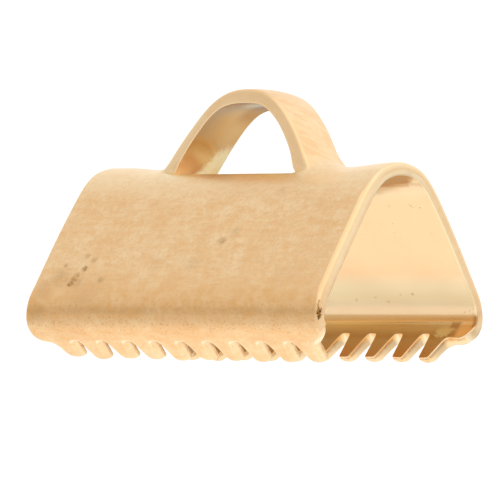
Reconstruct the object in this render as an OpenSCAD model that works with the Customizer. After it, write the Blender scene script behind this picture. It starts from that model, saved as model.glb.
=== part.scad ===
// Clamp-on cord end: one stamped sheet folded over a rounded ridge, with two rows of
// inward teeth along its open bottom and a hanging loop raised out of the ridge.
// Length runs along X, the open ends face -X and +X, the teeth stand on z = 0.

/* [Sheet and fold] */

// length of the folded body along X
body_l = 10; // [9.8:0.1:14]
// thickness of the sheet
sheet_t = 0.36; // [0.3:0.01:0.45]
// inside radius of the rounded ridge
ridge_r = 1.93; // [1.6:0.01:2.6]
// angle of each side wall away from the vertical
wall_tilt = 37.4; // [28:0.1:42]
// slight outward bow of each side wall, as the turn from its top to its bottom
wall_bow = 4; // [1:0.5:8]
// length of each side wall
wall_len = 3.4; // [2.4:0.05:5]
// inside radius of the upper part of the bottom bend
bend_upper_r = 0.9; // [0.5:0.05:1.3]
// inside radius of the lower part of the bottom bend
bend_lower_r = 0.22; // [0.1:0.01:0.4]
// angle of the inturned lip and teeth below the horizontal
lip_tilt = 42; // [30:1:55]
// straight length of the lip between the bend and the notch roots
lip_len = 0.38; // [0.1:0.01:0.6]

/* [Teeth] */

// number of teeth in each row
teeth = 10; // [4:1:10]
// distance between neighbouring teeth
tooth_pitch = 0.915; // [0.8:0.005:0.93]
// length of a tooth from its notch roots to its tip
tooth_len = 1.05; // [0.6:0.01:1.2]
// width of a tooth at its root
tooth_root_w = 0.6; // [0.4:0.01:0.7]
// width of a tooth at its tip
tooth_tip_w = 0.3; // [0.15:0.01:0.38]
// how far the plain corner beside the last tooth reaches past the notch roots
corner_len = 0.16; // [0.02:0.01:0.4]
// size of the slanted cut across the outer end of that plain corner
corner_cut = 0.16; // [0.04:0.01:0.2]
// shift of the front row of teeth along X
front_shift = 0.06; // [-0.14:0.01:0.14]
// shift of the back row of teeth along X
back_shift = -0.14; // [-0.14:0.01:0.14]

/* [Loop] */

// width of the raised strip across the ridge
loop_w = 1.9; // [1.4:0.05:2]
// width of the slot left in the ridge under the strip
slot_w = 2.14; // [2.06:0.02:2.4]
// height of the loop above the ridge
loop_h = 2.08; // [1.9:0.02:2.6]
// thickness of the strip at the top of the loop
loop_t = 0.38; // [0.3:0.01:0.45]

/* [Hidden] */

// Points of an arc about c, from angle a0 to a1 in n steps.
function arc(c, r, a0, a1, n) = [for (i = [0 : n]) c + r * dir(a0 + (a1 - a0) * i / n)];
function dir(a) = [cos(a), sin(a)];
function backwards(p) = [for (i = [len(p) - 1 : -1 : 0]) p[i]];
function flipped(p) = [for (q = p) [-q[0], q[1]]];

ridge_out = ridge_r + sheet_t;
upper_out = bend_upper_r + sheet_t;
lower_out = bend_lower_r + sheet_t;

// Centres and ends of the fold on the right-hand side, measured from the ridge centre.
wall_top = wall_tilt + wall_bow / 2;
wall_foot = wall_tilt - wall_bow / 2;
wall_r = wall_len / (wall_bow * PI / 180);
wall_c = (ridge_out - wall_r) * dir(wall_top);
upper_c = wall_c + (wall_r - upper_out) * dir(wall_foot);
lower_c = upper_c + [upper_out - lower_out, 0];
lip_n = dir(lip_tilt - 90);
lip_d = dir(lip_tilt - 180);
lip_root = lower_c + lower_out * lip_n + lip_len * lip_d;

// Centre of the rolled end of a tooth; its lowest point fixes the height of the ridge.
tip_c = lip_root + (tooth_len - sheet_t) * lip_d - sheet_t * lip_n;
ridge_z = sheet_t - tip_c[1];
ridge_top = ridge_z + ridge_out;
loop_top = ridge_top + loop_h;
foot_drop = loop_h + sheet_t * 0.8;

// Right half of the fold from the ridge down to the end of a tooth, outside and inside.
outside = concat(
    arc([0, 0], ridge_out, 90, wall_top, 16),
    arc(wall_c, wall_r, wall_top, wall_foot, 4),
    arc(upper_c, upper_out, wall_foot, 0, 10),
    arc(lower_c, lower_out, 0, lip_tilt - 90, 10),
    arc(tip_c, sheet_t, lip_tilt - 90, lip_tilt - 180, 10));
inside = concat(
    arc([0, 0], ridge_r, 90, wall_top, 16),
    arc(wall_c, wall_r - sheet_t, wall_top, wall_foot, 4),
    arc(upper_c, bend_upper_r, wall_foot, 0, 10),
    arc(lower_c, bend_lower_r, 0, lip_tilt - 90, 10));

module section_shape() {
    translate([0, ridge_z])
        polygon(concat(outside, backwards(inside), flipped(inside), backwards(flipped(outside))));
}

// Gap between two teeth, drawn with X along the row and Y away from the notch roots.
module gap_shape() {
    a = (tooth_pitch - tooth_root_w) / 2;
    b = (tooth_pitch - tooth_tip_w) / 2;
    reach = 1.5;
    c = a + (b - a) * reach;
    polygon([[-a, 0], [a, 0], [c, tooth_len * reach], [-c, tooth_len * reach]]);
}

// Open corner beyond the last tooth of a row; x is where that tooth's root ends.
module corner_shape(x) {
    slope = (tooth_root_w - tooth_tip_w) / 2 / tooth_len;
    far = tooth_len * 1.5;
    end = body_l / 2;
    polygon([[x - slope * corner_len, corner_len], [end - corner_cut, corner_len], [end, corner_len - corner_cut],
        [body_l, corner_len - corner_cut], [body_l, far], [x - slope * far, far]]);
}

// All the material taken away from one row, with the lip lying in the XY plane.
module row_cut(shift) {
    last = (teeth - 1) / 2 * tooth_pitch;
    translate([0, 0, -0.5]) linear_extrude(height = sheet_t + 1) {
        for (i = [0 : teeth - 2]) translate([shift - last + (i + 0.5) * tooth_pitch, 0]) gap_shape();
        corner_shape(last + shift + tooth_root_w / 2);
        mirror([1, 0]) corner_shape(last - shift + tooth_root_w / 2);
    }
}

// Places a row cut on the lip of the +Y side.
module on_lip() {
    translate([0, lip_root[0], ridge_z + lip_root[1]]) rotate([180 + lip_tilt, 0, 0]) children();
}

module folded_sheet() {
    difference() {
        translate([-body_l / 2, 0, 0]) rotate([90, 0, 90]) linear_extrude(height = body_l) section_shape();
        on_lip() row_cut(back_shift);
        mirror([0, 1, 0]) on_lip() row_cut(front_shift);
    }
}

// Outline of an arch seen along Y, its top at y = 0: two crown arcs and two straight legs.
function arch_path(c_l, r_l, lean_l, c_r, r_r, lean_r, low) =
    let (t_l = c_l + r_l * dir(90 + lean_l), t_r = c_r + r_r * dir(90 - lean_r),
         f_l = t_l - (t_l[1] - low) / sin(lean_l) * dir(lean_l),
         f_r = t_r + (t_r[1] - low) / sin(lean_r) * dir(-lean_r))
    concat([f_l], arc(c_l, r_l, 90 + lean_l, 90, 14), arc(c_r, r_r, 90, 90 - lean_r, 14), [f_r]);

module loop() {
    over = arch_path([0.28, -1.85], 1.85, 47.5, [0.70, -1.00], 1.00, 64, -foot_drop);
    under = arch_path([-0.26, -0.85 - loop_t], 0.85, 52, [0.32, -1.25 - loop_t], 1.25, 68, -foot_drop);
    translate([0, loop_w / 2, loop_top]) rotate([90, 0, 0]) linear_extrude(height = loop_w)
        polygon(concat(over, backwards(under)));
}

module slot() {
    translate([-2.2, -slot_w / 2, ridge_top - 1.2]) cube([4.1, slot_w, 2]);
}

// The whole clamp, one piece of gold-tone brass sheet.
module clamp() {
    color([0.90, 0.72, 0.42]) union() {
        difference() {
            folded_sheet();
            slot();
        }
        loop();
    }
}

clamp();
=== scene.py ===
"""Looks of the clamp-on cord end: the folded, toothed sheet with its raised loop, its satin gold-tone finish,
and a plain studio stage. Laid out as an add-on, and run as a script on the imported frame."""

import math
from functools import reduce

import bpy
import numpy as np
from bpy.props import FloatProperty, FloatVectorProperty, IntProperty, PointerProperty
from bpy.types import Operator, Panel, PropertyGroup
from mathutils import Matrix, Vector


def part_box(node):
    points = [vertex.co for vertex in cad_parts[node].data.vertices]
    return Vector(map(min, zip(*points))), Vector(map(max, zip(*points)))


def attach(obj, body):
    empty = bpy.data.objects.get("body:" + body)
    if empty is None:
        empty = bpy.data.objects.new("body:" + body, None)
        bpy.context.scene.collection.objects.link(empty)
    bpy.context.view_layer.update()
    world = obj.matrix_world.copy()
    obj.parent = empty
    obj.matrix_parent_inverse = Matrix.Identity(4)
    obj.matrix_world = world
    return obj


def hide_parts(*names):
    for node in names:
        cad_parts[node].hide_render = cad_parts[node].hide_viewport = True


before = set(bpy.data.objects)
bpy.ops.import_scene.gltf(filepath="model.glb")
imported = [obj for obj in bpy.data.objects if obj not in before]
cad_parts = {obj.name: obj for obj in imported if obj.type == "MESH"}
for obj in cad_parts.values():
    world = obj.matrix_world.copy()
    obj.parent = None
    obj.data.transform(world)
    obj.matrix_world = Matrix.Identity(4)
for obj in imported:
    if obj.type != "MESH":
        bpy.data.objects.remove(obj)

bl_info = {
    "name": "Clamp-on cord end",
    "version": (1, 0, 0),
    "blender": (4, 5, 0),
    "location": "View3D > Sidebar > Cord end",
    "description": "Builds a folded sheet clamp with inward teeth and a raised loop, and a studio stage",
    "category": "Object",
}

MM = 0.001
NODE = "clamp"
# Thickness of the sheet in millimetres, which is also the depth of its inner face.
SHEET_T = 0.36
CAD_LOW, CAD_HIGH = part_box(NODE)
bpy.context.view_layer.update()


def length(name, description, default_mm, low_mm=0.0, high_mm=50.0):
    """A length property whose default is given in millimetres."""
    return FloatProperty(name=name, description=description, default=default_mm * MM, min=low_mm * MM,
                         max=high_mm * MM, unit="LENGTH", precision=5)


def angle(name, description, degrees):
    """An angle property whose default is given in degrees."""
    return FloatProperty(name=name, description=description, default=math.radians(degrees),
                         min=-math.pi, max=math.pi, subtype="ANGLE", unit="ROTATION")


def tone(name, description, rgb):
    """A colour property, given as linear red, green and blue."""
    return FloatVectorProperty(name=name, description=description, default=rgb, size=3, min=0, max=1,
                               subtype="COLOR")


class SheetSizes(PropertyGroup):
    """Sizes of the folded sheet, its teeth and its rolled edges."""

    body_l: length("Body length", "Length of the folded body along X", (CAD_HIGH.x - CAD_LOW.x) / MM)
    sheet_t: length("Sheet", "Thickness of the sheet", SHEET_T)
    ridge_r: length("Ridge radius", "Inside radius of the rounded ridge", 1.93)
    wall_tilt: angle("Wall tilt", "Angle of each side wall away from the vertical", 37.4)
    wall_bow: angle("Wall bow", "Turn of each side wall from its top to its bottom", 4)
    wall_len: length("Wall length", "Length of each side wall", 3.4)
    bend_upper_r: length("Upper bend", "Inside radius of the upper part of the bottom bend", 0.9)
    bend_lower_r: length("Lower bend", "Inside radius of the lower part of the bottom bend", 0.22)
    lip_tilt: angle("Lip tilt", "Angle of the inturned lip below the horizontal", 42)
    lip_len: length("Lip length", "Straight length of the lip above the notch roots", 0.38)
    teeth: IntProperty(name="Teeth", description="Number of teeth in each row", default=10, min=3, max=20)
    tooth_pitch: length("Tooth pitch", "Distance between neighbouring teeth", 0.915)
    tooth_len: length("Tooth length", "Length of a tooth from its notch roots to its tip", 1.05)
    tooth_root_w: length("Tooth root", "Width of a tooth at its root", 0.63)
    tooth_tip_w: length("Tooth tip", "Width of a tooth at its tip, before its corners are rounded", 0.33)
    front_shift: length("Front shift", "Shift of the front row of teeth along X", 0.06, -1)
    back_shift: length("Back shift", "Shift of the back row of teeth along X", -0.14, -1)
    edge_roll: length("Rolled edge", "Radius of the outer edges, rolled in by the punch", 0.09)
    tip_roll: length("Rolled tip", "Length over which a tooth's outer face rolls down to its tip", 0.34)
    tip_fall: length("Tip fall", "Depth by which a tooth's outer face has rolled down at its tip", 0.28)
    toe: angle("Tooth toe", "Angle by which the teeth are bent in from the plane of the lip", 2)
    burr: length("Burr", "Height of the thin burr left along the inner edges", 0.012)


class LoopSizes(PropertyGroup):
    """Sizes of the strip raised out of the ridge."""

    left_end: length("Left slit end", "Place along X of the strip's left end", -2.5, -10)
    right_end: length("Right slit end", "Place along X of the strip's right end", 2.45, -10)
    strip_w: length("Strip width", "Width of the strip, measured along the curve of the ridge", 1.96)
    slot_w: length("Slot width", "Width of the slot left in the ridge, measured along its curve", 2.04)
    dome_r: length("Crown radius", "Radius of the strip's slight crown across its width", 6.0)
    dome_y: length("Crown place", "Place across the strip of its highest line", -0.35, -5)


class ClampFinish(PropertyGroup):
    """Colours and gloss of the gold-tone plating, and the colours of its painted light and painted shade."""

    gold: tone("Gold", "Colour of the plating", (0.94, 0.62, 0.325))
    pale: tone("Pale gold", "Colour of the plating where it is thin, and of its inside", (0.97, 0.68, 0.395))
    # Bright gold is painted light: low inside the walls, at the loop's foot, at the ridge's apex, and as
    # highlights on cut edges, roots and burr.
    bright: tone("Bright gold", "Colour low on the inside of the walls and on cut edges", (1.0, 0.86, 0.58))
    # Deep gold: streaks, clouds and grain outside and on the strip's cut edges, and painted shade along the
    # bend, in the ridge's dim patch and on the right-hand end.
    deep: tone("Deep gold", "Colour along the bottom bend and in the streaks", (0.85, 0.49, 0.20))
    # Dull gold is painted shade inside the lip; with the bright gold it paints the loop's left foot lighter.
    dull: tone("Dull gold", "Colour inside the lip", (0.60, 0.56, 0.37))
    # Grey gold is painted shade in the inner crease and in the ridge's dim patch.
    grey: tone("Grey gold", "Colour of the inner crease and the ridge's dim patch", (0.55, 0.50, 0.36))
    # Shaded gold is painted shade under the loop and in the inner corner, and the colour of the fine specks
    # inside.
    shade: tone("Shaded gold", "Colour of the underside of the loop and of fine specks", (0.58, 0.37, 0.155))
    # Warm gold is a painted reflection halfway up under the loop.
    warm: tone("Warm gold", "Colour halfway up the inside of the loop", (0.68, 0.36, 0.11))
    # The gleam is painted highlight and reflection: in the loop and the ridge, low on the back wall and along
    # the slot.
    gleam: tone("Gleam", "Colour of the brightest patches in the loop and the ridge", (1.0, 0.90, 0.62))
    # Stains, pits and fine dark grain outside; painted shade inside the lip, under the loop, on the teeth's
    # flanks, low on the right-hand end, along the bend and in the nick.
    tarnish: tone("Tarnish", "Colour of pits and stains, and inside the teeth", (0.42, 0.20, 0.05))
    # Painted shade deep in the nick and, faintly, inside the teeth.
    soot: tone("Soot", "Colour deep in the nick and, faintly, inside the teeth", (0.05, 0.03, 0.01))
    # Worn edges and places, and a painted highlight along the inner edge of the right-hand end.
    worn: tone("Worn edge", "Colour of rolled edges and worn places", (0.99, 0.76, 0.46))
    roughness: FloatProperty(name="Roughness", description="Roughness of the satin outside", default=0.36,
                             min=0, max=1, subtype="FACTOR")
    inside_roughness: FloatProperty(name="Inside roughness", description="Roughness of the glossier inside",
                                    default=0.28, min=0, max=1, subtype="FACTOR")


class StageLook(PropertyGroup):
    """The floor, the light and the camera."""

    floor: tone("Floor", "Colour of the floor", (0.25, 0.25, 0.25))
    floor_glow: FloatProperty(name="Floor glow", description="Light that the floor gives around the clamp",
                              default=0.99, min=0, max=5)
    camera_turn: angle("Camera turn", "Turn of the camera from the front towards +X", 36.0)
    camera_height: angle("Camera angle", "Angle of the camera's view below the horizontal", -0.935)
    camera_roll: angle("Camera roll", "Roll of the camera", 0.357)
    camera_far: length("Camera distance", "Distance of the camera from the clamp", 156.3, 0, 1000)
    lens: FloatProperty(name="Lens", description="Focal length of the lens in millimetres, on a 36 mm sensor",
                        default=401.9, min=10, max=2000)


# The sheet.


def unit(a):
    """Direction at the angle a, as a pair."""
    return np.array([math.cos(a), math.sin(a)])


def ease(x, a, b):
    """Smooth step of x from 0 at a to 1 at b."""
    t = np.clip((np.asarray(x, float) - a) / (b - a), 0, 1)
    return t * t * (3 - 2 * t)


def bump_at(x, centre, spread):
    """Round bump of height 1."""
    return np.exp(-(((x - centre) / spread) ** 2))


class Fold:
    """The outer line of the fold in millimetres, by the length along it from the ridge to a tooth's tip."""

    def __init__(self, p):
        t, r = p.sheet_t / MM, p.ridge_r / MM
        top, foot = p.wall_tilt + p.wall_bow / 2, p.wall_tilt - p.wall_bow / 2
        wall, upper, lower = p.wall_len / MM / p.wall_bow, p.bend_upper_r / MM + t, p.bend_lower_r / MM + t
        turn = p.lip_tilt - math.pi / 2
        c_wall = (r + t - wall) * unit(top)
        c_upper = c_wall + (wall - upper) * unit(foot)
        c_lower = c_upper + [upper - lower, 0]
        arcs = [(np.zeros(2), r + t, math.pi / 2, top), (c_wall, wall, top, foot),
                (c_upper, upper, foot, 0.0), (c_lower, lower, 0.0, turn)]
        self.arcs, start = [], 0.0
        for c, radius, a, b in arcs:
            self.arcs.append((start, start + radius * (a - b), c, radius, a, b))
            start += radius * (a - b)
        self.wall_end, self.bend_end = self.arcs[1][1], start
        self.root = start + p.lip_len / MM
        self.tip = self.root + p.tooth_len / MM
        self.lip_from = c_lower + lower * unit(turn)
        self.lip_way, self.lip_normal = unit(p.lip_tilt - math.pi), unit(turn)
        self.ridge_out, self.thickness = r + t, t
        rolled = self.at(np.array([self.tip - t]))[1][0] - t * self.lip_normal[1]
        self.lift = t - rolled

    def at(self, s):
        """y, z and the outward normal at the lengths s, which are 0 or more; z is from the ridge's centre."""
        s = np.asarray(s, float)
        y, z, ny, nz = (np.zeros_like(s) for _ in range(4))
        for start, end, c, radius, a, b in self.arcs:
            on = (s >= start) & (s <= end)
            turn = a + (b - a) * (s[on] - start) / (end - start)
            ny[on], nz[on] = np.cos(turn), np.sin(turn)
            y[on], z[on] = c[0] + radius * ny[on], c[1] + radius * nz[on]
        on = s > self.bend_end
        past = (s[on] - self.bend_end)[:, None]
        y[on], z[on] = (self.lip_from + past * self.lip_way).T
        ny[on], nz[on] = self.lip_normal
        return y, z, ny, nz


# Outer line of the raised strip along its middle, and its thickness, in millimetres.
ARCH = (
    # x, z, thickness
    (-2.42, 5.60, 0.35),
    (-2.30, 5.72, 0.33),
    (-2.02, 6.06, 0.30),
    (-1.63, 6.51, 0.27),
    (-1.22, 6.95, 0.26),
    (-0.97, 7.18, 0.27),
    (-0.65, 7.40, 0.30),
    (-0.16, 7.59, 0.36),
    (0.20, 7.63, 0.38),
    (0.50, 7.62, 0.38),
    (0.87, 7.57, 0.37),
    (1.27, 7.36, 0.36),
    (1.67, 6.95, 0.34),
    (2.02, 6.42, 0.36),
    (2.24, 5.98, 0.38),
    (2.39, 5.69, 0.40),
)


# Small forms left by the press, in millimetres. A pair is for the strip's left foot and its right foot.
DIP_DEPTH, DIP_OFF, DIP_SPREAD = (0.067, 0.076), 0.85, 0.6
FILLET_HEIGHT, FILLET_REACH = (0.08, 0.15), (0.18, 0.195)
END_RISE = 0.04
WALL_WAVE, WALL_RIPPLE, BEND_WAVE, TOOTH_WAVE, FRONT_SAG = 0.012, 0.008, 0.006, 0.012, 0.03
# At its feet the sheet is thicker by this share, and its cut edge follows the strip's direction at this place
# along it, to this share.
FOOT_THICKER, FOOT_WAY, FOOT_SHARE = (0.14, 0.42), (0.07, 0.95), (1.0, 0.88)
# Small steps for finding slopes, and the strip's own measure of a millimetre along x.
STEP, STRIP_PER_MM = 0.004, 0.2


class Shape:
    """Places points of the flat sheet, given as x, s and depth in millimetres, on the folded clamp."""

    def __init__(self, p, loop):
        self.fold = Fold(p)
        self.left, self.right = loop.left_end / MM, loop.right_end / MM
        self.dome_r, self.dome_y = loop.dome_r / MM, loop.dome_y / MM
        self.root, self.toe = self.fold.root, math.tan(p.toe)
        self.spline = self.arch_line()

    def sunk(self, x, s):
        """Distance that the formed sheet stands out of the plain fold, in its normal direction."""
        near = 1 - ease(np.abs(s), 0.9, 1.9)
        dip_l, dip_r = (bump_at(x, at, DIP_SPREAD) for at in (self.left - DIP_OFF, self.right + DIP_OFF))
        d = -(DIP_DEPTH[0] * dip_l + DIP_DEPTH[1] * dip_r) * near
        d = d + END_RISE * ease(x, 3.9, 4.8) * near
        close = 1 - ease(np.abs(s), 0.95, 1.35)
        rise_l = np.exp(np.minimum(x - self.left, 0) / FILLET_REACH[0])
        rise_l = rise_l * (1 - ease(x, self.left, self.left + 0.5))
        rise_r = np.exp(np.minimum(self.right - x, 0) / FILLET_REACH[1])
        rise_r = rise_r * (1 - ease(-x, -self.right, 0.5 - self.right))
        d = d + (FILLET_HEIGHT[0] * rise_l + FILLET_HEIGHT[1] * rise_r) * close
        wall = ease(np.abs(s), 1.8, 2.6) * (1 - ease(np.abs(s), 5.0, 5.8))
        front = s < 0
        wave = WALL_WAVE * np.sin(1.1 * x + 0.7 + 0.6 * front)
        wave = wave + WALL_RIPPLE * np.sin(2.3 * x - 1.3 * s + 2.0 * front)
        d = d + wall * wave
        bend = ease(np.abs(s), 5.2, 5.9) * (1 - ease(np.abs(s), 6.9, 7.2))
        return d + bend * BEND_WAVE * np.sin(1.7 * x + 1.9 * front)

    def sheet(self, x, s):
        """Outer face of the folded sheet."""
        y, z, ny, nz = self.fold.at(np.abs(s))
        side = np.where(s < 0, -1.0, 1.0)
        d = self.sunk(x, s)
        past = np.maximum(np.abs(s) - self.root, 0)
        left = np.clip((2.5 - x) / 5, 0, 1)
        uneven = np.where(s < 0, FRONT_SAG * left + TOOTH_WAVE * np.sin(2.2 * x),
                          TOOTH_WAVE * np.sin(2.9 * x + 1))
        d = d - (self.toe + uneven) * past
        return np.stack([x, side * (y + ny * d), z + self.fold.lift + nz * d], -1)

    def arch_line(self):
        """The strip's middle line: lengths along it, x, z and thickness, starting and ending on the ridge."""
        t = self.fold.thickness
        ends = [self.sheet(np.array([x]), np.zeros(1))[0] for x in (self.left, self.right)]
        rows = np.array([(self.left, ends[0][2], t), *ARCH, (self.right, ends[1][2], t)], float)
        along = np.concatenate([[0], np.cumsum(np.hypot(*np.diff(rows[:, :2], axis=0).T))])
        return along, rows

    def smooth_line(self, u):
        """The strip's middle line at u, 0 to 1 along it: x, z and thickness."""
        along, rows = self.spline
        where = u * along[-1]
        i = np.clip(np.searchsorted(along, where, side="right") - 1, 0, len(along) - 2)
        h = along[i + 1] - along[i]
        t = ((where - along[i]) / h)[:, None]
        slope = np.gradient(rows, along, axis=0)
        slope[0, :2], slope[-1, :2] = (0.90, 0.43), (0.79, -0.61)
        a, b, da, db = rows[i], rows[i + 1], slope[i] * h[:, None], slope[i + 1] * h[:, None]
        return ((2 * t**3 - 3 * t**2 + 1) * a + (t**3 - 2 * t**2 + t) * da
                + (3 * t**2 - 2 * t**3) * b + (t**3 - t**2) * db)

    def strip_way(self, u):
        """Direction of the strip's middle line, as x and z."""
        way = (self.smooth_line(np.clip(u + STEP, 0, 1)) - self.smooth_line(np.clip(u - STEP, 0, 1)))[:, :2]
        return way / np.linalg.norm(way, axis=1, keepdims=True)

    def risen(self, u):
        """How far the strip's cross-section has left the curve of the ridge, 0 to 1."""
        return ease(u, 0.0, 0.045) * ease(1 - u, 0.0, 0.045)

    def strip(self, u, s):
        """Outer face of the raised strip; u runs from its left to its right end."""
        line, way = self.smooth_line(u), self.strip_way(u)
        r = self.fold.ridge_out
        y = r * np.sin(s / r)
        from_ridge = np.sqrt(r * r - y * y) - r
        crown = (self.dome_y**2 - (y - self.dome_y) ** 2) / (2 * self.dome_r)
        up = self.risen(u)
        e = crown * up
        z = line[:, 1] + way[:, 0] * e + from_ridge * (1 - up)
        return np.stack([line[:, 0] - way[:, 1] * e, y, z], -1)

    def place(self, x, s, depth, on_strip, foot):
        """Folded places of points that lie at that depth under the outer face."""
        u = np.clip((x - self.left) / (self.right - self.left), 0, 1)
        feet = [np.where(x < 0, *pair) for pair in (FOOT_THICKER, FOOT_WAY, FOOT_SHARE)]
        thin = np.where(on_strip, self.smooth_line(u)[:, 2] / self.fold.thickness, 1.0 + foot * feet[0])

        def face(dx, ds):
            flat = self.sheet(x + dx, s + ds)
            raised = self.strip(np.clip(u + dx * STRIP_PER_MM, 0, 1), s + ds)
            return np.where(on_strip[:, None], raised, flat)

        along = face(STEP, 0) - face(-STEP, 0)
        across = face(0, STEP) - face(0, -STEP)
        normal = np.cross(along, across)
        normal /= np.linalg.norm(normal, axis=1, keepdims=True)
        # The strip's own edges stay square to Y, and the inner side of each foot leans in towards the slot.
        way = self.strip_way(np.where(foot, feet[1], u))
        up = np.where(foot, feet[2], on_strip)[:, None]
        normal = normal * (1 - up) + np.stack([-way[:, 1], 0 * u, way[:, 0]], -1) * up
        normal /= np.linalg.norm(normal, axis=1, keepdims=True)
        return face(0, 0) - normal * (depth * thin)[:, None]


class Blank:
    """The flat sheet as points and quads: columns along X and rows along s, with the teeth and the strip."""

    def __init__(self):
        self.points, self.quads = [], []

    def point(self, x, s, kind=0, reach_x=None, reach_s=None, fall=0.0):
        """Adds a point; kind is 1 on the strip and 2 at its feet, reach is that of the rolled edge."""
        self.points.append((x, s, kind, reach_x, reach_s, fall))
        return len(self.points) - 1

    def fill(self, rows, skip=lambda j, c: False):
        """Adds the quads between neighbouring rows of points."""
        for j in range(len(rows) - 1):
            for c in range(len(rows[j]) - 1):
                if not skip(j, c):
                    self.quads.append((rows[j][c], rows[j][c + 1], rows[j + 1][c + 1], rows[j + 1][c]))


TOOTH_ACROSS = (-1.0, -0.45, 0.0, 0.45, 1.0)
GAP_ACROSS = (1 / 3, 2 / 3)
EAR_ACROSS = (0.0, 0.2, 0.5, 0.8)
# Plain corners beside the last teeth: how far their edge reaches past the notch roots, from the open end
# to the side of the tooth, for the front row and the back row, at the left and the right end.
EAR_REACH = {
    (-1, -1): (-0.06, 0.10, 0.17, 0.19, 0.19),
    (-1, 1): (-0.33, -0.15, 0.05, 0.22, 0.24),
    (1, -1): (-0.12, 0.08, 0.15, 0.16, 0.16),
    (1, 1): (-0.12, 0.15, 0.21, 0.17, 0.17),
}


def columns(p, shift):
    """Places of all the columns at the notch roots, and for each tooth the columns that are its own."""
    pitch, root = p.tooth_pitch / MM, p.tooth_root_w / MM / 2
    half = p.body_l / MM / 2
    centres = [(i - (p.teeth - 1) / 2) * pitch + shift for i in range(p.teeth)]
    xs, own = [], []
    first = centres[0] - root
    xs += [-half + (first + half) * f for f in EAR_ACROSS]
    for i, c in enumerate(centres):
        own.append(list(range(len(xs), len(xs) + len(TOOTH_ACROSS))))
        xs += [c + root * f for f in TOOTH_ACROSS]
        if i + 1 < len(centres):
            gap = centres[i + 1] - c - 2 * root
            xs += [c + root + gap * f for f in GAP_ACROSS]
    last = centres[-1] + root
    xs += [half - (half - last) * f for f in reversed(EAR_ACROSS)]
    return np.array(xs), own, centres


def build_blank(p, loop, shape):
    """The outer face of the flat sheet, with its teeth, its slot and the strip over the slot."""
    blank, fold = Blank(), shape.fold
    front, own, centres_f = columns(p, p.front_shift / MM)
    back, _, centres_b = columns(p, p.back_shift / MM)
    middle = (front + back) / 2
    k_l, k_r = (int(np.argmin(abs(middle - x))) for x in (shape.left, shape.right))
    ridge = np.interp(middle, [middle[0], middle[k_l], middle[k_r], middle[-1]],
                      [middle[0], shape.left, shape.right, middle[-1]])
    strip, slot = loop.strip_w / MM / 2, loop.slot_w / MM / 2
    ridge_end, wall_end, bend_end, root = fold.arcs[0][1], fold.wall_end, fold.bend_end, fold.root
    upper_end = fold.arcs[2][1]
    half_rows = [0, strip / 3, strip * 2 / 3, strip, slot, slot + 0.22, slot + 0.55, ridge_end]
    half_rows += list(np.linspace(ridge_end, wall_end, 9)[1:]) + list(np.linspace(wall_end, upper_end, 5)[1:])
    half_rows += list(np.linspace(upper_end, bend_end, 5)[1:]) + [root - 0.16, root]
    levels = [-v for v in half_rows[:0:-1]] + half_rows
    n_strip = next(i for i, v in enumerate(half_rows) if v == strip)
    n_slot = n_strip + 1
    mid = len(half_rows) - 1
    wobble = np.random.default_rng(7)

    def along(s):
        if abs(s) <= slot:
            return ridge
        part = (abs(s) - slot) / (root - slot)
        return ridge + ((front if s < 0 else back) - ridge) * part

    body = []
    for j, s in enumerate(levels):
        xs, row = along(s), []
        inside = abs(j - mid) < n_slot
        for c, x in enumerate(xs):
            if inside and k_l < c < k_r:
                row.append(None)
                continue
            at_x, at_s, reach = x, abs(s), None
            ear = min(c, len(xs) - 1 - c)
            if ear <= len(EAR_ACROSS) and at_s > bend_end:
                more = EAR_REACH[(-1 if s < 0 else 1, -1 if x < 0 else 1)][ear]
                at_s = bend_end + (at_s - bend_end) * (root - bend_end + more) / (root - bend_end)
            if abs(s) == root:
                reach = 0.045 if ear >= len(EAR_ACROSS) else 0.18 if ear else 0.12
                at_x -= math.copysign(0.05 if ear == 0 else 0.0, x)
            if ear == 0 and -root < s < -slot:
                reach = 0.09 + 0.08 * float(ease(-s, slot, 2.2)) * float(ease(-s, 5.9, 5.1))
            foot = 2 if c in (k_l, k_r) and abs(s) <= strip else 0
            row.append(blank.point(at_x, math.copysign(at_s, s), foot, reach, reach))
        body.append(row)
    blank.fill(body, lambda j, c: mid - n_slot <= j < mid + n_slot and k_l <= c < k_r)

    tip_len, root_w, tip_w = p.tooth_len / MM, p.tooth_root_w / MM / 2, p.tooth_tip_w / MM / 2
    for side, centres, edge in ((-1, centres_f, body[0]), (1, centres_b, body[-1])):
        for i, centre in enumerate(centres):
            left = 1 - i / (p.teeth - 1) if side < 0 else 0.0
            size = tip_len + wobble.uniform(-0.03, 0.005) - (0.09 if side < 0 and i == 0 else 0.0)
            lean = wobble.uniform(-0.02, 0.02)
            roll, depth = p.tip_roll / MM + 0.12 * left, p.tip_fall / MM + 0.02 * left
            rows = [[edge[c] for c in own[i]]]
            stations = [0.3, min(0.5, size - roll - 0.08)]
            stations += [size - roll * back for back in (1.0, 0.62, 0.3, 0.08, 0.0)]
            for v in stations:
                w = root_w + (tip_w - root_w) * v / tip_len
                end = max(0.0, (v - (size - 0.06)) / 0.06)
                w -= 0.03 * (1 - math.sqrt(max(0.0, 1 - end * end)))
                sunk = max(0.0, (v - (size - roll)) / roll)
                fall = depth * (1 - math.sqrt(max(0.0, 1 - sunk * sunk)))
                rows.append([blank.point(centre + f * w + lean * v, side * (root + v), 0,
                                         min(0.05 + 0.12 * v, 0.5 * w), 0.02 if v == size else 0.09, fall)
                             for f in TOOTH_ACROSS])
            blank.fill(rows[::-1] if side < 0 else rows)

    steps = 30
    rails = [body[j] for j in range(mid - n_strip, mid + n_strip + 1)]
    arch = []
    for j, rail in enumerate(rails):
        s = levels[mid - n_strip + j]
        row = [rail[k_l]]
        row += [blank.point(shape.left + (shape.right - shape.left) * i / steps, s, 1)
                for i in range(1, steps)]
        arch.append(row + [rail[k_r]])
    blank.fill(arch)
    return blank


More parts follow.
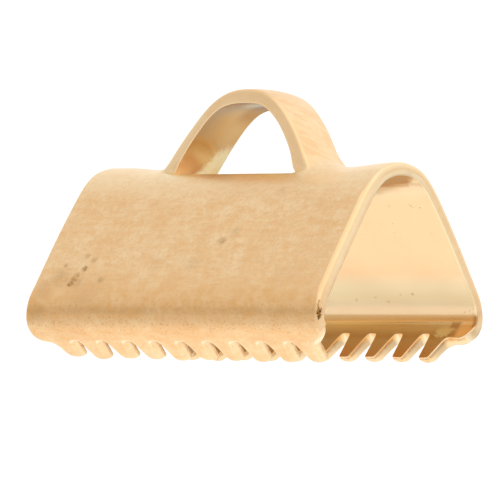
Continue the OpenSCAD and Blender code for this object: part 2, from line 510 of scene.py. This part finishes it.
def rim_of(quads, x, s):
    """The rim's edges, and for each point of the rim its outward direction and its corner factor."""
    edges = dict.fromkeys((a, b) for q in quads for a, b in zip(q, q[1:] + q[:1]))
    rim = [(a, b) for a, b in edges if (b, a) not in edges]
    push = {}
    for a, b in rim:
        d = np.array([s[b] - s[a], x[a] - x[b]])
        d /= np.linalg.norm(d)
        for v in (a, b):
            push.setdefault(v, []).append(d)
    out = {}
    for v, ds in push.items():
        total = np.sum(ds, axis=0)
        size = np.linalg.norm(total)
        out[v] = (total / size, 1 / max(size / len(ds), 0.6))
    return rim, out


def build_sheet(p, loop):
    """Points in metres, quads, the flat place of each point, and how far each point is an edge or inside."""
    shape = Shape(p, loop)
    blank = build_blank(p, loop, shape)
    x, s, kind, reach_x, reach_s, fall = zip(*blank.points)
    t, roll, burr = shape.fold.thickness, p.edge_roll / MM, p.burr / MM
    rim, push = rim_of(blank.quads, x, s)

    flat = []  # x, s, depth, on strip, edge, inner
    quads = []

    def inset_place(v, inset):
        """Place of a point, set in from the outline by that share of the rolled edge if it is on the rim."""
        if v not in push:
            return x[v], s[v]
        way, corner = push[v]
        rx, rs = reach(v)
        return x[v] - way[0] * rx * corner * inset, s[v] - way[1] * rs * corner * inset

    def reach(v):
        """Reach of the rolled edge at a point, along x and along s."""
        return [roll if r is None else r for r in (reach_x[v], reach_s[v])]

    def layer(depth_of, inset, edge, inner):
        first = len(flat)
        for v in range(len(x)):
            flat.append((*inset_place(v, inset), depth_of(v), kind[v], edge if v in push else 0.0, inner))
        return first

    outer = layer(lambda v: fall[v], 1.0, 0.35, 0.0)
    quads += [tuple(outer + v for v in q) for q in blank.quads]
    inner = layer(lambda v: t, 0.22, 0.2, 1.0)
    quads += [tuple(inner + v for v in reversed(q)) for q in blank.quads]

    # Rings around the rim: three over the rolled edge, one down the cut, and two around the burr.
    rings = [(1 - math.sin(turn), 1 - math.cos(turn)) for turn in (0.5, 1.05)]
    rings += [(0.0, 1.0), (-0.04, None), (-0.06, None), (-0.02, None)]
    ring_rows = []
    for step, (inset, drop) in enumerate(rings):
        row = {}
        for v, (way, _) in push.items():
            rx, rs = reach(v)
            room = t - fall[v]
            if drop is not None:
                depth = fall[v] + min(math.hypot(way[0] * rx, way[1] * rs), room * 0.6) * drop
            elif step == 3:
                depth = fall[v] + 0.72 * room
            elif step == 4:
                depth = t - min(0.05, 0.2 * room)
            else:
                depth = t + burr
            row[v] = len(flat)
            edge, inside = (1.0, 0.0) if step < 3 else (0.6, 0.5)
            flat.append((*inset_place(v, inset), depth, kind[v], edge, inside))
        ring_rows.append(row)
    stack = [{v: outer + v for v in push}] + ring_rows + [{v: inner + v for v in push}]
    for upper, lower in zip(stack, stack[1:]):
        for a, b in rim:
            quads.append((upper[b], upper[a], lower[a], lower[b]))

    flat = np.array(flat, float)
    places = shape.place(flat[:, 0], flat[:, 1], flat[:, 2], flat[:, 3] == 1, flat[:, 3] == 2)
    return places * MM, quads, flat


def sheet_object(p, loop):
    """The sheet as an object, with the flat place and the masks that its plating is painted by."""
    places, quads, flat = build_sheet(p, loop)
    mesh = bpy.data.meshes.new("clamp_sheet")
    mesh.from_pydata(places.tolist(), [], quads)
    mesh.validate()
    used = mesh.attributes.new("flat", "FLOAT_VECTOR", "POINT")
    used.data.foreach_set("vector", flat[:, :3].astype(np.float32).ravel())
    for name, values in (("edge", flat[:, 4]), ("inner", flat[:, 5]), ("strip", flat[:, 3] > 0)):
        mask = mesh.attributes.new(name, "FLOAT", "POINT")
        mask.data.foreach_set("value", values.astype(np.float32))
    mesh.shade_smooth()
    piece = bpy.data.objects.new("clamp_sheet", mesh)
    bpy.context.scene.collection.objects.link(piece)
    fine = piece.modifiers.new("Smooth", "SUBSURF")
    fine.levels = fine.render_levels = 1
    return piece


# Materials.


class Nodes:
    """Short forms for adding nodes to a tree. A value may be a number, a tuple or an output socket."""

    def __init__(self, tree):
        self.tree = tree

    def add(self, kind, inputs=None, **settings):
        """A node with its settings and inputs; an input that is a socket is linked, any other is a value."""
        node = self.tree.nodes.new(kind)
        for key, value in settings.items():
            setattr(node, key, value)
        for key, value in (inputs or {}).items():
            socket = node.inputs[key]
            if isinstance(value, bpy.types.NodeSocket):
                self.tree.links.new(value, socket)
            else:
                socket.default_value = value
        return node

    def maths(self, kind, *values):
        return self.add("ShaderNodeMath", dict(enumerate(values)), operation=kind).outputs[0]

    def vector(self, kind, *values):
        node = self.add("ShaderNodeVectorMath", dict(enumerate(values)), operation=kind)
        return node.outputs["Value" if kind in ("DISTANCE", "LENGTH", "DOT_PRODUCT") else "Vector"]

    def scale_add(self, value, factor, base):
        return self.maths("MULTIPLY_ADD", value, factor, base)

    def remap(self, value, a, b, c=0.0, d=1.0):
        """Smooth step of the value from c at a to d at b."""
        values = {"Value": value, "From Min": a, "From Max": b, "To Min": c, "To Max": d}
        return self.add("ShaderNodeMapRange", values, interpolation_type="SMOOTHSTEP").outputs["Result"]

    def fade(self, value, a, b):
        return self.remap(value, a, b, 1.0, 0.0)

    def window(self, value, a, b, c, d):
        """Rises from 0 at a to 1 at b, and falls back from 1 at c to 0 at d."""
        return self.both(self.remap(value, a, b), self.fade(value, c, d))

    def both(self, *factors):
        return reduce(lambda a, b: self.maths("MULTIPLY", a, b), factors)

    def most(self, *values):
        return reduce(lambda a, b: self.maths("MAXIMUM", a, b), values)

    def mix(self, factor, a, b):
        return self.add("ShaderNodeMix", {"Factor": factor, "A": a, "B": b}).outputs[0]

    def tint(self, factor, a, b):
        node = self.add("ShaderNodeMix", {"Factor": factor, "A": a, "B": b}, data_type="RGBA")
        return next(o for o in node.outputs if o.type == "RGBA")


# Dull stains on the outer face.
STAINS = (
    # x, s, radius, strength
    (-3.67, -5.20, 0.15, 1.0),
    (-3.62, -5.04, 0.15, 1.0),
    (-3.60, -4.90, 0.14, 0.9),
    (-3.41, -4.68, 0.14, 1.0),
    (-3.50, -5.12, 0.34, 0.45),
    (-3.52, -4.22, 0.12, 0.45),
    (-3.22, -4.36, 0.14, 0.55),
    (-4.12, -4.55, 0.10, 0.6),
    (-2.68, -5.06, 0.14, 0.6),
    (-4.10, -5.00, 0.42, 0.50),
    (-4.50, -5.38, 0.36, 0.35),
    (-3.00, -5.50, 0.70, 0.20),
    (-4.62, -6.10, 0.34, 0.30),
    (0.93, -3.73, 0.17, 0.6),
    (1.25, -3.40, 0.22, 0.35),
    (0.30, -4.50, 0.30, 0.25),
    (2.10, -1.95, 0.20, 0.35),
    (-0.98, -4.52, 0.30, 0.20),
    (3.60, -4.90, 0.50, 0.12),
)

# A fine scratch and small dull specks on the inside of the far wall.
SCRATCH, SCRATCH_SIZE, SCRATCH_TURN = (4.21, 2.105, SHEET_T), (0.11, 0.018), -0.88
INNER_SPECKS = (
    # x, s, radius, strength
    (4.48, 2.17, 0.035, 0.50),
    (3.48, 2.10, 0.060, 0.20),
    (3.35, 2.72, 0.035, 0.35),
    (3.27, 3.03, 0.030, 0.30),
    (4.50, 3.07, 0.028, 0.35),
    (3.02, 5.20, 0.060, 0.35),
    (2.60, 5.22, 0.050, 0.20),
    (2.10, 5.50, 0.060, 0.25),
    (1.70, 5.35, 0.060, 0.20),
    (1.00, 5.45, 0.060, 0.25),
    (4.60, 5.92, 0.035, 0.60),
    (4.78, 5.86, 0.035, 0.60),
    (4.88, 5.98, 0.030, 0.60),
    (4.92, 5.78, 0.030, 0.60),
)


# A spot inside the lip left lighter than its painted shade, the painted sheen under the loop's crown, and the
# nick in the bend, darkened with painted shade, which is placed by the way around the edge of the open end
# (x + depth, stretched) and s.
LIP_SPOT, LOOP_SHEEN = (4.08, 6.95, SHEET_T), (-0.15, 0.15, SHEET_T)
NICK, NICK_STRETCH = (7.65, -6.08, 0), 1.5


class Plating(Nodes):
    """Nodes of the plating. A place is x along the sheet, s across it (0 on the ridge, negative on the front
    wall; far is s without its sign) and the depth under the outer face, in millimetres."""

    def __init__(self, tree):
        super().__init__(tree)
        at = self.add("ShaderNodeTexCoord").outputs["Object"]
        self.at = self.vector("MULTIPLY", at, (1 / MM, 1 / MM, 1 / MM))
        self.flat = self.add("ShaderNodeAttribute", attribute_name="flat").outputs["Vector"]
        part = self.add("ShaderNodeSeparateXYZ", {"Vector": self.flat})
        self.x, self.s, self.depth = (part.outputs[name] for name in "XYZ")
        self.far = self.maths("ABSOLUTE", self.s)
        self.edge, self.inner, self.strip = (self.mask(name) for name in ("edge", "inner", "strip"))
        self.outside = self.maths("SUBTRACT", 1.0, self.inner)
        self.body = self.maths("SUBTRACT", 1.0, self.strip)
        self.face = self.both(self.outside, self.fade(self.edge, 0.1, 0.5))
        self.deep_in = self.remap(self.inner, 0.55, 0.95)
        self.inward = self.remap(self.inner, 0.3, 0.6)
        self.cloud, self.blotch = self.noise(0.9, 3, 0.55), self.noise(2.6, 4, 0.6, 0.4)
        self.grain, self.fine = self.noise(7, 3, 0.6), self.noise(16, 2, 0.6)
        self.speckle = self.scale_add(self.grain, 0.6, self.maths("MULTIPLY", self.fine, 0.4))
        self.find_glossy()
        self.find_marks()

    def mask(self, name):
        return self.add("ShaderNodeAttribute", attribute_name=name).outputs["Fac"]

    def noise(self, scale, detail, rough, warp=0.0, where=None):
        values = {"Vector": self.at if where is None else where, "Scale": scale, "Detail": detail,
                  "Roughness": rough, "Distortion": warp}
        return self.add("ShaderNodeTexNoise", values).outputs["Fac"]

    def off(self, place):
        """Distance from a place on the flat sheet."""
        return self.vector("DISTANCE", self.flat, place)

    def find_glossy(self):
        """Places inside where painted light and painted shade lie, with their own gloss."""
        x, s, far, deep_in = self.x, self.s, self.far, self.deep_in
        self.lip = self.both(deep_in, self.remap(far, 6.22, 6.50), self.remap(s, -2.0, 2.0))
        self.low_front = self.both(deep_in, self.remap(far, 3.8, 5.2), self.remap(far, 5.42, 5.7, 1.0, 0.2),
                                   self.fade(s, 0.0, 1.0))
        self.low_rear = self.both(deep_in, self.window(s, 4.4, 5.1, 5.5, 5.75))
        self.ragged = self.scale_add(self.grain, 0.5, self.scale_add(s, 0.8, x))
        self.lit = self.both(self.inward, self.body, self.window(s, 0.0, 0.4, 0.95, 1.1),
                             self.remap(self.ragged, 5.6, 5.9))
        flash = self.scale_add(self.grain, 0.5, self.scale_add(x, -0.755, s))
        self.flash = self.both(deep_in, self.strip, self.remap(flash, 2.10, 2.45), self.fade(x, -1.95, -1.6))

    def find_marks(self):
        """Stains, and the pits and the nick, which also lie a little deeper; the nick's dark colour is
        painted shade.
        """
        blots = [self.remap(self.off((x, s, 0)), wide * 0.2, wide * 1.3, strong, 0.0)
                 for x, s, wide, strong in STAINS]
        self.haze = self.both(self.most(*blots), self.outside)
        spots = self.both(self.remap(self.haze, 0.35, 0.9), self.remap(self.speckle, 0.43, 0.60))
        along_bend = self.both(self.window(self.far, 5.6, 6.0, 6.6, 6.9), self.remap(self.fine, 0.56, 0.70),
                               self.outside, 0.3)
        self.pits = self.most(self.both(spots, 0.85), along_bend)
        around = self.both(self.maths("ADD", self.x, self.depth), NICK_STRETCH)
        around = self.add("ShaderNodeCombineXYZ", {"X": around, "Y": self.s}).outputs[0]
        nick = self.scale_add(self.fine, 0.4, self.vector("DISTANCE", around, NICK))
        line = self.both(self.window(self.x, 4.955, 4.97, 4.985, 4.995), self.remap(self.s, -6.0, -5.9),
                         self.remap(self.s, -5.72, -5.66, 0.6, 0.0))
        self.nick = self.most(self.fade(nick, 0.32, 0.42), line)


# Each of these functions gives coats in the order that they lie: the name of a colour, and masks to multiply.


def outside_coats(n):
    """Cloudy satin, streaks drawn along the sheet and brushed across the strip, and painted shade along the
    bend.
    """
    mottled = n.scale_add(n.cloud, 0.5, n.maths("MULTIPLY", n.blotch, 0.5))
    drawn = n.noise(1.0, 3, 0.6, 0.4, n.vector("MULTIPLY", n.flat, (1.2, 5.0, 0)))
    slant = n.scale_add(n.s, -0.25, n.x)
    brush = n.add("ShaderNodeCombineXYZ", {"X": n.maths("MULTIPLY", slant, 8.0), "Y": n.s})
    brushed = n.noise(1.0, 2, 0.5, 0.6, brush.outputs[0])
    bend = n.both(n.window(n.far, 4.5, 6.0, 6.8, 7.15), n.remap(n.far, 6.2, 6.34, 1.0, 0.35), n.outside)
    crest = n.both(n.outside, n.body, n.fade(n.far, 1.3, 2.4))
    return [
        ("pale", n.remap(mottled, 0.38, 0.62)),
        ("worn", n.remap(drawn, 0.35, 0.65, 0.0, 0.2), n.body),
        ("worn", n.remap(n.blotch, 0.38, 0.60, 0.0, 0.42), n.body),
        ("pale", n.deep_in, n.body, 0.8),
        ("deep", n.remap(drawn, 0.3, 0.6, 0.3, 0.0), n.outside, n.body),
        ("deep", n.remap(n.cloud, 0.46, 0.62, 0.0, 0.30), n.outside, n.body),
        ("deep", n.remap(n.grain, 0.42, 0.58, 0.0, 0.24), n.face),
        ("tarnish", n.remap(n.fine, 0.5, 0.7, 0.0, 0.12), n.face),
        ("worn", crest, n.remap(n.grain, 0.4, 0.6, 0.9, 0.6)),
        ("worn", n.strip, n.face, 0.35),
        ("deep", n.strip, n.face, n.remap(brushed, 0.42, 0.52, 0.35, 0.0)),
        # Painted shade: a darker band painted along the bottom bend, fainter on its lower part.
        ("deep", bend, n.remap(mottled, 0.35, 0.6, 1.0, 0.5), n.remap(n.grain, 0.35, 0.6, 1.2, 0.7)),
    ]


def wall_coats(n):
    """Painted shade inside the lip and its teeth and in the crease, and painted light low on the inside of
    the walls.
    """
    spot = n.both(n.lip, n.fade(n.scale_add(n.grain, 0.5, n.off(LIP_SPOT)), 0.40, 0.60))
    lip_end = n.both(n.lip, n.window(n.x, 4.12, 4.22, 4.42, 4.54))
    lip_deep = n.most(n.remap(n.far, 6.5, 7.25), n.both(lip_end, 0.75))
    front_in = n.both(n.deep_in, n.remap(n.far, 5.9, 6.3), n.fade(n.s, -3.0, -2.0))
    crease = n.both(n.deep_in, n.window(n.far, 5.4, 5.75, 6.0, 6.2))
    corner = n.both(n.deep_in, n.window(n.far, 5.98, 6.06, 6.34, 6.5))
    return [
        # Painted shade inside the lip and its teeth, deepening towards the teeth; a spot and the lip's
        # right-hand end are left lighter.
        ("dull", n.lip, 0.7),
        ("tarnish", n.lip, lip_deep, n.maths("SUBTRACT", 1.0, spot), n.remap(n.far, 7.1, 7.4, 0.86, 0.70)),
        ("soot", n.lip, n.remap(n.far, 6.7, 7.1), 0.16),
        ("gold", n.lip, n.remap(n.x, 4.40, 4.62), 0.7),
        # Painted light: the walls are painted brighter low on the inside and around the front bend, and the
        # back wall also gets a painted gleam.
        ("bright", n.most(n.low_front, n.low_rear, front_in)),
        ("gleam", n.low_rear, 0.5),
        # Painted shade in the crease and the corner inside the bottom bend.
        ("grey", crease, 0.38),
        ("shade", corner, 0.76),
    ]


def loop_coats(n):
    """Painted light and shade under the loop: painted shade over most of it, lighter at its left foot, a warm
    painted reflection halfway up, and darker painted shade under its crown.
    """
    below = n.both(n.deep_in, n.strip)
    leg = n.both(below, n.fade(n.x, -2.3, -1.7))
    halfway = n.both(below, n.window(n.x, -2.1, -1.7, -1.2, -0.6), n.remap(n.s, 0.0, 0.6, 1.0, 0.2))
    dim = n.both(below, n.window(n.x, -1.3, -0.8, 0.0, 0.6), n.remap(n.s, 0.1, 0.6))
    return [
        # All of these are painted light and painted shade under the loop.
        ("dull", leg, 0.25),
        ("bright", leg, 0.35),
        ("shade", below, n.remap(n.x, -2.2, -1.6, 0.2, 1.0), 0.85),
        ("warm", halfway, n.remap(n.grain, 0.35, 0.6, 0.95, 0.6)),
        ("tarnish", dim, 0.7),
    ]


def ridge_coats(n):
    """Painted light and shade inside the ridge: painted lighter at its apex, a dim patch of painted shade and
    lit patches of painted highlight, and the painted reflections in the loop.
    """
    low_edge = n.scale_add(n.x, -0.25, n.s)
    apex = n.both(n.inward, n.fade(n.far, 1.0, 2.0), n.body)
    dusk = n.both(n.inward, n.window(n.ragged, 4.4, 4.8, 5.5, 5.8), n.remap(n.s, 0.0, 0.4),
                  n.fade(low_edge, 0.06, 0.20))
    lit_low = n.both(n.inward, n.body, n.remap(low_edge, 0.12, 0.26), n.remap(n.s, 1.3, 1.8, 0.7, 0.0),
                     n.fade(n.x, 3.4, 4.1))
    sheen = n.both(n.deep_in, n.strip, n.fade(n.off(LOOP_SHEEN), 0.15, 0.5))
    return [
        ("bright", apex, 0.6),
        ("grey", dusk, 0.48),
        ("deep", dusk, n.remap(n.s, 0.8, 1.1), 0.6),
        # Painted highlights in the ridge, and painted reflections in the loop.
        ("gleam", n.most(n.lit, lit_low)),
        ("gleam", n.most(n.flash, n.both(sheen, 0.7))),
    ]


def edge_coats(n):
    """The cut edges: worn all round, then painted shade and highlights on the right-hand end, a painted
    highlight along the slot, and painted shade and highlights on the teeth and their burr.
    """
    rolled, cut, tooth = n.remap(n.edge, 0.3, 0.8), n.remap(n.edge, 0.45, 0.9), n.remap(n.edge, 0.35, 0.55)
    end = n.remap(n.x, 4.7, 4.85)
    near_end = n.both(end, n.window(n.s, -5.9, -5.0, -2.0, -1.0))
    near_cut = n.both(near_end, cut, n.remap(n.depth, 0.11, 0.17))
    near_roll = n.both(near_end, n.outside, n.fade(n.depth, 0.10, 0.16))
    rear_end = n.both(end, n.window(n.s, -1.8, -0.8, 5.7, 6.1))
    rear_cut = n.both(rear_end, cut, n.window(n.depth, 0.12, 0.16, 0.27, 0.31))
    rear_glint = n.both(rear_end, n.remap(n.x, 4.93, 4.955), n.remap(n.depth, 0.29, 0.33))
    slot_edge = n.both(n.outside, n.body, n.fade(n.far, 1.0, 1.5), n.window(n.x, -2.6, -2.2, 2.2, 2.6))
    flank = n.both(tooth, n.remap(n.far, 7.12, 7.3), n.window(n.depth, 0.23, 0.29, 0.32, 0.35))
    roots = n.both(tooth, n.window(n.far, 6.9, 7.0, 7.1, 7.2), n.fade(n.depth, 0.3, 0.34))
    burr = n.both(n.remap(n.edge, 0.3, 0.5), n.remap(n.depth, 0.345, 0.36))
    dark_line = n.both(n.remap(n.x, 4.86, 4.92), n.remap(n.depth, 0.30, 0.34),
                       n.window(n.s, 6.0, 6.15, 6.65, 6.85))
    return [
        ("worn", rolled, n.remap(n.inner, 0.1, 0.5, 0.6, 0.25), n.remap(n.s, -5.5, -3.5, 0.4, 1.0)),
        # Painted shade on the end face of the right-hand end, and a painted highlight along its inner edge.
        ("deep", rear_cut, 0.4),
        ("worn", rear_glint, 0.7),
        # A painted highlight on the front wall's end face.
        ("bright", near_cut, 0.4),
        ("gold", near_roll, 0.6),
        ("deep", n.strip, cut, n.remap(n.x, -1.4, -0.5), 0.3),
        # A painted highlight along the edge of the slot.
        ("gleam", slot_edge, 0.85),
        # Painted shade on the teeth's flanks, and painted highlights on the notch roots and the burr.
        ("tarnish", flank, n.remap(n.grain, 0.35, 0.6, 0.25, 0.55)),
        ("bright", n.most(n.both(roots, 0.8), n.both(burr, 0.8))),
        # A line of painted shade low on the back of the right-hand end.
        ("tarnish", dark_line, 0.7),
    ]


def mark_coats(n):
    """A scratch and specks inside; outside, the stains, the pits, a band of painted shade in the bend and the
    nick, darkened with painted shade.
    """
    scratch = n.vector("SUBTRACT", n.flat, SCRATCH)
    turned = n.add("ShaderNodeVectorRotate", {"Vector": scratch, "Angle": SCRATCH_TURN},
                   rotation_type="Z_AXIS").outputs[0]
    scratch = n.vector("MULTIPLY", turned, (1 / SCRATCH_SIZE[0], 1 / SCRATCH_SIZE[1], 1))
    specks = [n.remap(n.vector("LENGTH", scratch), 0.5, 1.3, 0.75, 0.0)]
    for x, s, wide, strong in INNER_SPECKS:
        specks.append(n.remap(n.off((x, s, SHEET_T)), wide * 0.4, wide * 1.2, strong * 1.3, 0.0))
    band = n.both(n.window(n.far, 5.85, 6.0, 6.06, 6.2), n.outside, n.remap(n.grain, 0.35, 0.6, 0.06, 0.24))
    return [
        ("shade", n.most(*specks)),
        ("tarnish", n.haze, n.remap(n.blotch, 0.4, 0.6, 0.3, 0.7)),
        # With the pits, a faint band of painted shade along the crease of the bend.
        ("tarnish", n.most(n.pits, band)),
        # Painted shade in the nick, a small dent that is also sunk as a bump.
        ("tarnish", n.nick),
        ("soot", n.nick, n.remap(n.fine, 0.4, 0.55, 0.8, 0.1)),
    ]


def gloss(n, look):
    """Roughness: satin outside, glossier inside, and broader again where patches of light lie."""
    satin = n.remap(n.cloud, 0.3, 0.7, look.roughness - 0.04, look.roughness + 0.04)
    satin = n.scale_add(n.remap(n.far, 6.9, 7.2), -0.16, satin)
    inside = look.inside_roughness
    for place, change in ((n.lip, -0.12), (n.low_front, 0.36), (n.low_rear, 0.22), (n.strip, -0.10),
                          (n.most(n.flash, n.lit), 0.40)):
        inside = n.scale_add(place, change, inside)
    return n.mix(n.inner, satin, inside)


def relief(n):
    """Normal of the fine bumps, fainter inside, with the pits and the nick sunk into them."""
    height = n.scale_add(n.most(n.both(n.pits, 0.1), n.nick), -1.5, n.speckle)
    height = n.both(height, n.remap(n.inner, 0.4, 0.9, 1.0, 0.2))
    bump = n.add("ShaderNodeBump", {"Height": height, "Strength": 0.28, "Distance": 0.00002})
    return bump.outputs["Normal"]


def gold_material(look):
    """Satin gold-tone plating: coats of colour, painted light and shade among them, over one another, with
    their gloss and fine relief.
    """
    material = bpy.data.materials.new("gold_tone_plating")
    material.use_nodes = True
    material.node_tree.nodes.clear()
    n = Plating(material.node_tree)
    colour = (*look.gold, 1)
    for coats in (outside_coats, wall_coats, loop_coats, ridge_coats, edge_coats, mark_coats):
        for over, *masks in coats(n):
            colour = n.tint(n.both(*masks), colour, (*getattr(look, over), 1))
    shader = n.add("ShaderNodeBsdfPrincipled", {"Metallic": 1.0, "Base Color": colour,
                                                "Roughness": gloss(n, look), "Normal": relief(n)})
    n.add("ShaderNodeOutputMaterial", {"Surface": shader.outputs["BSDF"]})
    return material


# Glow of the floor by how flatly it is seen: 1 is level with the floor, 0 is straight down.
FLOOR_GLOW = (
    # flatness, glow
    (0.00, 0.88),
    (0.25, 0.81),
    (0.40, 0.71),
    (0.60, 0.60),
    (0.80, 0.52),
    (0.93, 0.50),
    (0.975, 0.92),
    (1.00, 0.92),
)


# The same for the floor behind the clamp, which is darker towards its far side.
BACK_GLOW = (
    # flatness, glow
    (0.00, 0.95),
    (0.25, 0.80),
    (0.42, 0.52),
    (0.52, 0.40),
    (0.93, 0.36),
    (0.975, 0.92),
    (1.00, 0.92),
)


# Half length and half depth of the evenly lit pool around the clamp, in metres, where it ends, as shares of
# them, and where the floor behind begins.
POOL, POOL_END, BEHIND = (0.010, 0.0042), (0.6, 1.3), (0.002, 0.010)


def floor_material(look):
    """Pale floor with a soft glow that fades towards the distance, as under a soft box."""
    material = bpy.data.materials.new("pale_floor")
    material.use_nodes = True
    n = Nodes(material.node_tree)
    shader = n.tree.nodes["Principled BSDF"]
    shader.inputs["Base Color"].default_value = (*look.floor, 1)
    shader.inputs["Roughness"].default_value = 1.0
    shader.inputs["Specular IOR Level"].default_value = 0.0
    shader.inputs["Emission Color"].default_value = (1, 1, 1, 1)
    flatness = n.add("ShaderNodeLayerWeight", {"Blend": 0.5}).outputs["Facing"]

    def glow_by(table):
        curve = n.add("ShaderNodeFloatCurve", {"Value": flatness})
        line = curve.mapping.curves[0]
        line.points[0].location, line.points[1].location = table[0], table[-1]
        for place in table[1:-1]:
            line.points.new(*place)
        curve.mapping.update()
        return curve.outputs["Value"]

    spot = n.add("ShaderNodeTexCoord").outputs["Object"]
    scaled = n.vector("MULTIPLY", spot, (1 / POOL[0], 1 / POOL[1], 0))
    away = n.remap(n.vector("LENGTH", scaled), *POOL_END)
    behind = n.remap(n.add("ShaderNodeSeparateXYZ", {"Vector": spot}).outputs["Y"], *BEHIND)
    glow = n.mix(away, look.floor_glow, n.mix(behind, glow_by(FLOOR_GLOW), glow_by(BACK_GLOW)))
    n.tree.links.new(glow, shader.inputs["Emission Strength"])
    return material


# Stage.


# Even light of the surroundings, and their soft lights: direction, brightness at its middle and sharpness. A
# negative brightness is a darker region.
EVEN_LIGHT = 0.86
SOFT_LIGHTS = (
    # x, y, z, brightness, sharpness
    (0.61, -0.15, 0.75, 0.55, 5.0),
    (0.25, 0.81, 0.51, 0.27, 8.0),
    (-0.59, 0.81, 0.0, 0.28, 4.0),
    (-0.59, -0.81, 0.0, -0.18, 8.0),
)


def soft_surroundings():
    """A world of soft, even light with a few broad brighter and darker regions."""
    world = bpy.data.worlds.new("soft_studio")
    world.use_nodes = True
    n = Nodes(world.node_tree)
    n.tree.nodes.clear()
    way = n.add("ShaderNodeTexCoord").outputs["Generated"]
    total = EVEN_LIGHT
    for x, y, z, bright, sharp in SOFT_LIGHTS:
        towards = n.maths("MAXIMUM", n.vector("DOT_PRODUCT", way, (x, y, z)), 0.0)
        total = n.scale_add(n.maths("POWER", towards, sharp), bright, total)
    back = n.add("ShaderNodeBackground", {"Color": (1, 1, 1, 1), "Strength": total})
    n.add("ShaderNodeOutputWorld", {"Surface": back.outputs["Background"]})
    return world


# Point that the camera is centred on, in millimetres: right and up in its own view, and above the floor.
AIM_RIGHT, AIM_UP, AIM_ABOVE = -0.128, 3.023, 0.12


def photo_camera(look):
    """Place and turn of the camera, from its angle, distance and roll about the clamp."""
    a, e, r = look.camera_turn, look.camera_height, look.camera_roll
    back = np.array([math.sin(a) * math.cos(e), -math.cos(a) * math.cos(e), math.sin(e)])
    level = np.array([math.cos(a), math.sin(a), 0.0])
    over = np.cross(back, level)
    right = level * math.cos(r) + over * math.sin(r)
    up = -level * math.sin(r) + over * math.cos(r)
    place = back * look.camera_far / MM + right * AIM_RIGHT + up * AIM_UP + np.array([0, 0, AIM_ABOVE])
    turn = Matrix([[right[i], up[i], back[i], place[i] * MM] for i in range(3)] + [[0, 0, 0, 1]])
    data = bpy.data.cameras.new("photo_camera")
    data.lens, data.sensor_width, data.sensor_fit = look.lens, 36, "HORIZONTAL"
    data.clip_start, data.clip_end = 0.005, 50
    camera = bpy.data.objects.new("photo_camera", data)
    camera.matrix_world = turn
    return camera


# Operators.


class CORDEND_OT_sheet(Operator):
    """Builds the folded sheet with its teeth and its raised loop, and gives it its plating."""

    bl_idname = "cordend.sheet"
    bl_label = "Folded sheet"

    def execute(self, context):
        scene = context.scene
        piece = sheet_object(scene.cordend_sheet, scene.cordend_loop)
        if not piece.data.polygons:
            raise RuntimeError("the sheet came out empty")
        piece.data.materials.append(gold_material(scene.cordend_finish))
        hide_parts(NODE)
        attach(piece, "root")
        return {"FINISHED"}


class CORDEND_OT_stage(Operator):
    """Lays the plain pale floor, sets the soft light and puts the camera at the photo's angle."""

    bl_idname = "cordend.stage"
    bl_label = "Studio stage"

    def execute(self, context):
        look = context.scene.cordend_stage
        mesh = bpy.data.meshes.new("floor")
        mesh.from_pydata([(-6, -6, 0), (6, -6, 0), (6, 6, 0), (-6, 6, 0)], [], [(0, 1, 2, 3)])
        floor = bpy.data.objects.new("floor", mesh)
        context.scene.collection.objects.link(floor)
        mesh.materials.append(floor_material(look))
        context.scene.world = soft_surroundings()
        context.scene.view_settings.view_transform = "Standard"
        camera = photo_camera(look)
        context.scene.collection.objects.link(camera)
        context.scene.camera = camera
        return {"FINISHED"}


class CORDEND_PT_panel(Panel):
    """Lists the pieces and their sizes."""

    bl_label = "Cord end"
    bl_idname = "CORDEND_PT_panel"
    bl_space_type = "VIEW_3D"
    bl_region_type = "UI"
    bl_category = "Cord end"

    def draw(self, context):
        layout = self.layout
        for operator in (CORDEND_OT_sheet, CORDEND_OT_stage):
            layout.operator(operator.bl_idname)
        for name in ("cordend_sheet", "cordend_loop", "cordend_finish", "cordend_stage"):
            group = getattr(context.scene, name)
            box = layout.box()
            for key in group.bl_rna.properties.keys():
                if key not in ("rna_type", "name"):
                    box.prop(group, key)


GROUPS = {
    "cordend_sheet": SheetSizes,
    "cordend_loop": LoopSizes,
    "cordend_finish": ClampFinish,
    "cordend_stage": StageLook,
}
CLASSES = (*GROUPS.values(), CORDEND_OT_sheet, CORDEND_OT_stage, CORDEND_PT_panel)


def register():
    for cls in CLASSES:
        bpy.utils.register_class(cls)
    for name, cls in GROUPS.items():
        setattr(bpy.types.Scene, name, PointerProperty(type=cls))


def unregister():
    for name in GROUPS:
        delattr(bpy.types.Scene, name)
    for cls in reversed(CLASSES):
        bpy.utils.unregister_class(cls)


def main():
    register()
    bpy.ops.cordend.sheet()
    bpy.ops.cordend.stage()


if __name__ == "__main__":
    main()
